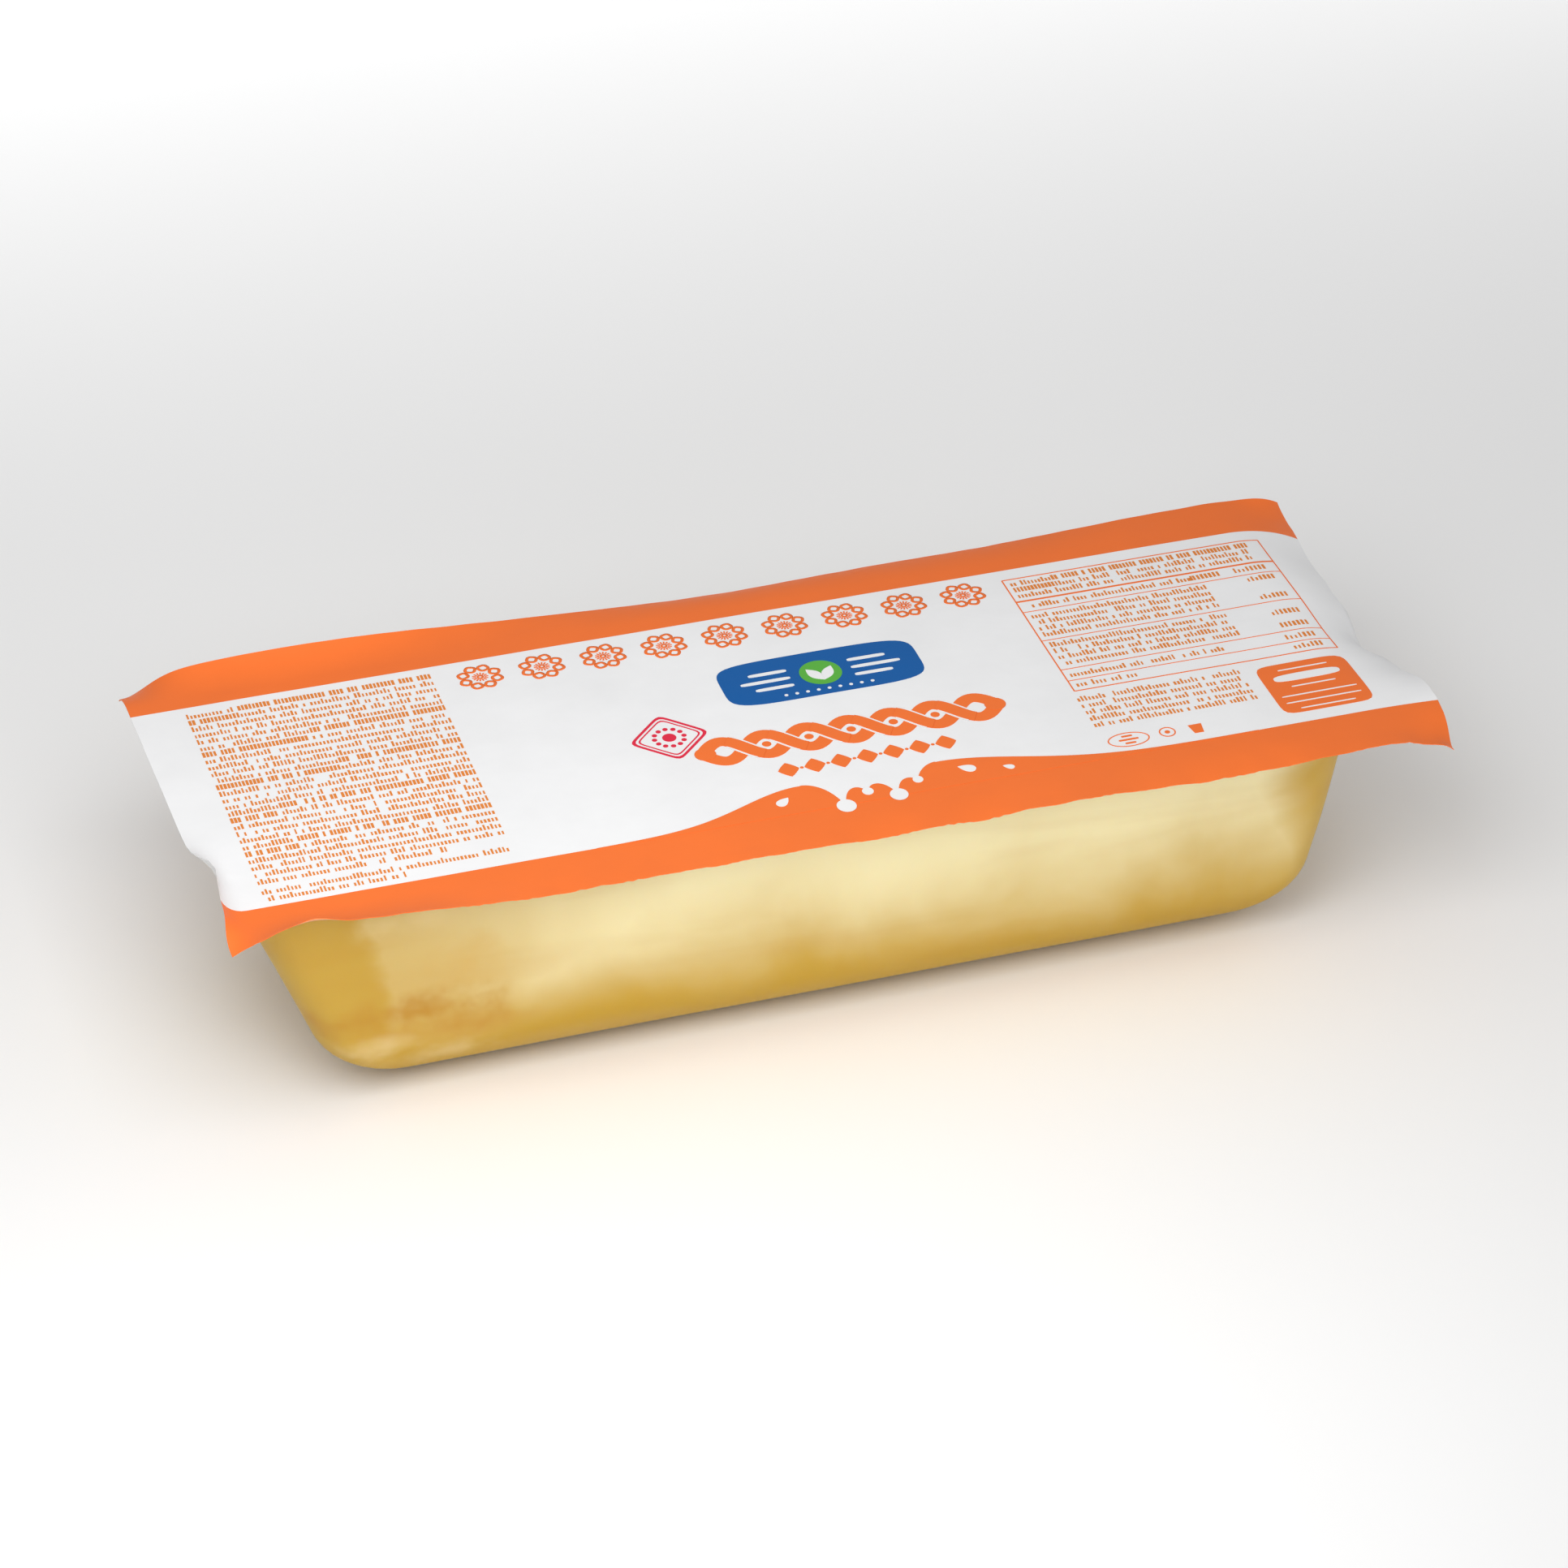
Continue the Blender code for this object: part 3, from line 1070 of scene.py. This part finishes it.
for number in range(DOTS):
    dot = (PLAQUE[0] + (number - DOTS // 2) * DOT_PITCH, PLAQUE[1] - DOT_DROP)
    add_plate(plaque_mesh, disc(dot, DOT_RADIUS, 12), coat=1, ink=1)
plaque_inks = [ink_on_film("blue_ink", BLUE_INK), white_ink, ink_on_film("green_ink", GREEN_INK)]
add_ink("plaque", plaque_mesh, plaque_inks)


# The title plait
# A heavy plait of two strands, as stretched curd is plaited, is the lid's main ornament. A row of
# lozenges and dots stands under it. Both are printed in the band's orange.
PLAIT_LEFT = -0.0218
PLAIT_RIGHT = 0.0432
PLAIT_MIDDLE = -0.0119
PLAIT_SWING = 0.0037
PLAIT_EYES = 7
STRAND_HALF = 0.00165
CROSSING_GAP = 0.00045
# How far the white gap beside a crossing runs, as a share of an eye, and how much longer the upper
# strand's own piece is.
CROSSING_REACH = 0.27
OVERLAP = 1.3
STRAND_STEP = 0.0006
EYE_DOT = 0.0010
KNOT_RADIUS = 0.0023
LOZENGE_ROW = (-0.0087, 0.0303, -0.0225)
LOZENGES = 7
LOZENGE_HALF = (0.0023, 0.0026)
LOZENGE_DOT = 0.0004


def strand_columns(start, end, side, half):
    """A strand of the plait from one place to another, as columns square to its own line."""
    wave = math.pi * PLAIT_EYES / (PLAIT_RIGHT - PLAIT_LEFT)
    count = max(8, round((end - start) / STRAND_STEP))
    columns = []
    for i in range(count + 1):
        s = start + (end - start) * i / count
        phase = wave * (s - PLAIT_LEFT)
        t = PLAIT_MIDDLE + side * PLAIT_SWING * math.sin(phase)
        slope = math.atan(side * PLAIT_SWING * wave * math.cos(phase))
        off_s, off_t = -half * math.sin(slope), half * math.cos(slope)
        columns.append([(s - off_s, t - off_t), (s, t), (s + off_s, t + off_t)])
    return columns


title_mesh = bmesh.new()
eye = (PLAIT_RIGHT - PLAIT_LEFT) / PLAIT_EYES
for side in (-1, 1):
    add_strip(title_mesh, strand_columns(PLAIT_LEFT, PLAIT_RIGHT, side, STRAND_HALF))
for number in range(PLAIT_EYES):
    middle = PLAIT_LEFT + (number + 0.5) * eye
    if 0 < number < PLAIT_EYES - 1:
        add_plate(title_mesh, disc((middle, PLAIT_MIDDLE), EYE_DOT, 20))
    if number:
        # The strands take turns to lie on top. White ink leaves a gap beside the upper one.
        crossing = PLAIT_LEFT + number * eye
        side = 1 if number % 2 else -1
        reach = CROSSING_REACH * eye
        gap = strand_columns(crossing - reach, crossing + reach, side, STRAND_HALF + CROSSING_GAP)
        add_strip(title_mesh, gap, coat=1, ink=1)
        reach *= OVERLAP
        over = strand_columns(crossing - reach, crossing + reach, side, STRAND_HALF)
        add_strip(title_mesh, over, coat=2)
# A round knot closes the plait at each end.
for s in (PLAIT_LEFT + KNOT_RADIUS / 4, PLAIT_RIGHT - KNOT_RADIUS / 4):
    add_plate(title_mesh, disc((s, PLAIT_MIDDLE), KNOT_RADIUS, 36), coat=1)
row_left, row_right, row_t = LOZENGE_ROW
lozenge_pitch = (row_right - row_left - 2 * LOZENGE_HALF[0]) / (LOZENGES - 1)
for number in range(LOZENGES):
    s = row_left + LOZENGE_HALF[0] + number * lozenge_pitch
    add_plate(title_mesh, bowed_outline((s, row_t), LOZENGE_HALF, 1.15, 24))
    if number < LOZENGES - 1:
        add_plate(title_mesh, disc((s + lozenge_pitch / 2, row_t), LOZENGE_DOT, 14))
add_ink("title_plait", title_mesh, [orange_ink, white_ink])


# The stamp
# A red stamp stands on its corner at the plait's left end: two thin outlines with round corners, and
# a ring of dots round a disc.
STAMP = (-0.0266, -0.0036)
# Each outline: its half-width and its line.
STAMP_LINES = ((0.0062, 0.00062), (0.0051, 0.00034))
STAMP_DISC = 0.0015
STAMP_DOTS = 12
STAMP_DOT = 0.00058
STAMP_DOT_RING = 0.0032
RED_INK = (0.720, 0.022, 0.060, 1.0)


def stamp_outline(half):
    """A square with round corners that stands on one of them."""
    upright = bowed_outline((0.0, 0.0), (half, half), 9.0, 64)
    turn = math.sqrt(0.5)
    return [(STAMP[0] + (a - b) * turn, STAMP[1] + (a + b) * turn) for a, b in upright]


stamp_mesh = bmesh.new()
for half, line in STAMP_LINES:
    add_band(stamp_mesh, stamp_outline(half), stamp_outline(half - line))
add_plate(stamp_mesh, disc(STAMP, STAMP_DISC, 24))
for dot in disc(STAMP, STAMP_DOT_RING, STAMP_DOTS):
    add_plate(stamp_mesh, disc(dot, STAMP_DOT, 12))
add_ink("red_stamp", stamp_mesh, [ink_on_film("red_ink", RED_INK)])


# The small print
# Blocks of fine orange marks fill the film's two ends. They are upright ticks in runs as long as words,
# with bolder runs among them, and they spell nothing.
TICK = {"Mark Pitch": 0.00078, "Tick Height": 0.00190, "Row Pitch": 0.00253}
HEADING_EVERY = 5
# Thin strokes lie a little browner on the white than the same ink does in a band.
FINE_INK = (0.74, 0.225, 0.035, 1.0)
# Share of the places in a row that carry a tick.
WORD_FILL = 0.86
# A tick's width and height, as shares of the pitch and of the full height, and what bold and tall ones
# add to them.
TICK_WIDTHS = (0.44, 0.66)
BOLD_EXTRA = 0.14
TICK_HEIGHTS = (0.58, 0.66)
TALL_EXTRA = 0.34
SHORT_SHARE = 0.72
# The middle of a heading lies this many rows after the start of its paragraph.
HEADING_MIDDLES = (0.55, 1.05)
# Each block: the left end and the baseline of its first row, its width, its rows, and whether it has
# headings.
TEXT_BLOCKS = (
    (-0.1213, 0.0334, 0.0526, 25, True),
    (-0.1213, -0.0299, 0.0400, 1, False),
    (-0.1213, -0.0335, 0.0520, 1, False),
    (-0.1213, -0.0360, 0.0300, 1, False),
    (0.0618, 0.0310, 0.0550, 3, True),
    (0.0618, 0.0215, 0.0385, 1, False),
    (0.0618, 0.0173, 0.0400, 4, False),
    (0.0618, 0.0054, 0.0400, 4, False),
    (0.0618, -0.0070, 0.0345, 1, False),
    (0.0618, -0.0110, 0.0140, 1, False),
    (0.0600, -0.0165, 0.0362, 5, False),
)
# The table's figures: their left end, their baseline and their width.
FIGURES = (
    (0.1000, 0.0215, 0.0065),
    (0.1105, 0.0215, 0.0068),
    (0.1120, 0.0173, 0.0058),
    (0.1120, 0.0097, 0.0058),
    (0.1120, 0.0029, 0.0058),
    (0.1120, -0.0022, 0.0058),
    (0.1112, -0.0070, 0.0062),
    (0.1115, -0.0110, 0.0060),
)


def build_small_print():
    """Rows of ticks. Some ticks are left out, so that the rest stand in runs as long as words."""
    tree, start, end = new_group(
        "small_print",
        "GeometryNodeTree",
        {
            "Width": "NodeSocketFloat",
            "Rows": "NodeSocketInt",
            "Row Pitch": "NodeSocketFloat",
            "Mark Pitch": "NodeSocketFloat",
            "Tick Height": "NodeSocketFloat",
            "Headings": "NodeSocketFloat",
            "Word Fill": "NodeSocketFloat",
            "Seed": "NodeSocketInt",
            "Rise": "NodeSocketFloat",
            "Ink": "NodeSocketMaterial",
        },
        {"Mesh": "NodeSocketGeometry"},
    )
    given = start.outputs

    def chance(low, high, seed_step, key=None):
        inputs = {2: low, 3: high, 8: maths(tree, "ADD", given["Seed"], seed_step)}
        if key is not None:
            inputs[7] = key
        return add_node(tree, "FunctionNodeRandomValue", {"data_type": "FLOAT"}, inputs).outputs[1]

    across = maths(tree, "DIVIDE", given["Width"], given["Mark Pitch"])
    tall = maths(tree, "MULTIPLY", maths(tree, "SUBTRACT", given["Rows"], 1.0), given["Row Pitch"])
    grid = add_node(
        tree,
        "GeometryNodeMeshGrid",
        {},
        {"Size X": given["Width"], "Size Y": tall, "Vertices X": across, "Vertices Y": given["Rows"]},
    ).outputs[0]
    here = add_node(tree, "GeometryNodeInputPosition", {}, {}).outputs[0]
    parts = add_node(tree, "ShaderNodeSeparateXYZ", {}, {0: here})
    from_top = maths(tree, "SUBTRACT", maths(tree, "MULTIPLY", tall, 0.5), parts.outputs["Y"])
    row = maths(tree, "ROUND", maths(tree, "DIVIDE", from_top, given["Row Pitch"]))
    share = maths(tree, "ADD", maths(tree, "DIVIDE", parts.outputs["X"], given["Width"]), 0.5)
    in_paragraph = maths(tree, "ADD", maths(tree, "FLOORED_MODULO", row, float(HEADING_EVERY)), share)
    paragraph = maths(tree, "FLOOR", maths(tree, "DIVIDE", row, float(HEADING_EVERY)))
    heading_middle = chance(*HEADING_MIDDLES, 31, paragraph)
    in_heading = maths(tree, "COMPARE", in_paragraph, heading_middle, 0.5)
    bold = maths(tree, "MULTIPLY", in_heading, given["Headings"])
    width_share = maths(tree, "MULTIPLY_ADD", bold, BOLD_EXTRA, chance(*TICK_WIDTHS, 11))
    stands_out = maths(tree, "GREATER_THAN", chance(0.0, 1.0, 12), SHORT_SHARE)
    is_tall = maths(tree, "MAXIMUM", bold, stands_out)
    height_share = maths(tree, "MULTIPLY_ADD", is_tall, TALL_EXTRA, chance(*TICK_HEIGHTS, 13))
    size = add_node(
        tree,
        "ShaderNodeCombineXYZ",
        {},
        {
            0: maths(tree, "MULTIPLY", width_share, given["Mark Pitch"]),
            1: maths(tree, "MULTIPLY", height_share, given["Tick Height"]),
            2: given["Rise"],
        },
    ).outputs[0]
    inked_place = maths(tree, "LESS_THAN", chance(0.0, 1.0, 14), given["Word Fill"])
    block = add_node(tree, "GeometryNodeMeshCube", {}, {"Size": (1.0, 1.0, 1.0)}).outputs[0]
    tick = add_node(
        tree, "GeometryNodeTransform", {}, {"Geometry": block, "Translation": (0.0, 0.5, 0.5)}
    ).outputs[0]
    ticks = add_node(
        tree,
        "GeometryNodeInstanceOnPoints",
        {},
        {"Points": grid, "Selection": inked_place, "Instance": tick, "Scale": size},
    ).outputs[0]
    solid = add_node(tree, "GeometryNodeRealizeInstances", {}, {"Geometry": ticks}).outputs[0]
    inked = add_node(
        tree, "GeometryNodeSetMaterial", {}, {"Geometry": solid, "Material": given["Ink"]}
    ).outputs[0]
    tree.links.new(inked, end.inputs["Mesh"])
    return tree


small_print_tree = build_small_print()
fine_ink = ink_on_film("fine_orange_ink", FINE_INK)


def add_text(bm, left, baseline, width, rows, headings, fill, seed):
    """Adds one block of ticks, with its first row on this baseline."""
    values = {**TICK, "Width": width, "Rows": rows, "Headings": float(headings), "Word Fill": fill}
    block = grow(small_print_tree, {**values, "Seed": seed, "Rise": INK_RISE, "Ink": fine_ink})
    middle = baseline - (rows - 1) * TICK["Row Pitch"] / 2
    bmesh.ops.translate(block, verts=block.verts, vec=(left + width / 2, middle, 0.0))
    join_into(bm, block)


text_mesh = bmesh.new()
for number, (left, baseline, width, rows, headings) in enumerate(TEXT_BLOCKS):
    add_text(text_mesh, left, baseline, width, rows, headings, WORD_FILL, 7 * number + 4)
for number, (left, baseline, width) in enumerate(FIGURES):
    add_text(text_mesh, left, baseline, width, 1, True, 1.0, 5 * number + 3)
add_ink("small_print", text_mesh, [fine_ink])


# The table and the corner marks
# Thin orange rules make a table at the right end. Under it stand a panel with a white pill and plain
# bars, an oval outline, a ring and a small cup.
TABLE = (0.0603, 0.1205, -0.0124, 0.0338)
TABLE_LINE = 0.00030
THIN_RULE = 0.00022
# Each rule: its place across the film and its line.
RULES = (
    (0.0245, 0.00055),
    (0.0201, THIN_RULE),
    (0.0082, THIN_RULE),
    (-0.0038, THIN_RULE),
    (-0.0083, THIN_RULE),
)
PANEL = (0.1099, -0.0249)
PANEL_HALF = (0.0103, 0.0093)
PILL = (0.1097, -0.0211)
PILL_HALF = (0.0075, 0.0013)
# Each light bar on the panel: its place across the film and its half-length.
PANEL_BARS = (
    (-0.0180, 0.0056),
    (-0.0245, 0.0050),
    (-0.0278, 0.0085),
    (-0.0303, 0.0085),
    (-0.0328, 0.0062),
)
PANEL_BAR_HALF = 0.00019
OVAL = (0.0648, -0.0330)
OVAL_HALF = (0.0046, 0.0026)
OVAL_LINE = 0.00028
OVAL_BARS = (0.0012, 0.0022, 0.0012)
OVAL_BAR_HALF = 0.00030
OVAL_BAR_PITCH = 0.0013
RING = (0.0735, -0.0328)
RING_RADIUS = 0.0018
RING_LINE = 0.0003
RING_DOT = 0.0006
# The cup's four corners, anticlockwise from its base.
CUP = ((0.0789, -0.0350), (0.0809, -0.0350), (0.0814, -0.0318), (0.0784, -0.0318))


def box_outline(left, right, low, high):
    """An upright rectangle's corners."""
    return [(left, low), (right, low), (right, high), (left, high)]


table_mesh = bmesh.new()
left, right, low, high = TABLE
for t, line in RULES + ((low, TABLE_LINE), (high, TABLE_LINE)):
    add_plate(table_mesh, box_outline(left, right, t - line / 2, t + line / 2))
for s in (left, right):
    add_plate(table_mesh, box_outline(s - TABLE_LINE / 2, s + TABLE_LINE / 2, low, high))
add_plate(table_mesh, bowed_outline(PANEL, PANEL_HALF, 9.0, 72))
add_plate(table_mesh, bowed_outline(PILL, PILL_HALF, 3.5, 32), coat=1, ink=1)
for t, half_length in PANEL_BARS:
    bar = bowed_outline((PANEL[0], t), (half_length, PANEL_BAR_HALF), 8.0, 24)
    add_plate(table_mesh, bar, coat=1, ink=1)
inner_half = [half - OVAL_LINE for half in OVAL_HALF]
add_band(table_mesh, bowed_outline(OVAL, OVAL_HALF, 2.0, 48), bowed_outline(OVAL, inner_half, 2.0, 48))
for number, half_length in enumerate(OVAL_BARS):
    mark = (OVAL[0], OVAL[1] + (1 - number) * OVAL_BAR_PITCH)
    add_plate(table_mesh, bowed_outline(mark, (half_length, OVAL_BAR_HALF), 8.0, 16))
add_band(table_mesh, disc(RING, RING_RADIUS, 32), disc(RING, RING_RADIUS - RING_LINE, 32))
add_plate(table_mesh, disc(RING, RING_DOT, 14))
add_plate(table_mesh, CUP)
add_ink("table_and_marks", table_mesh, [orange_ink, white_ink])
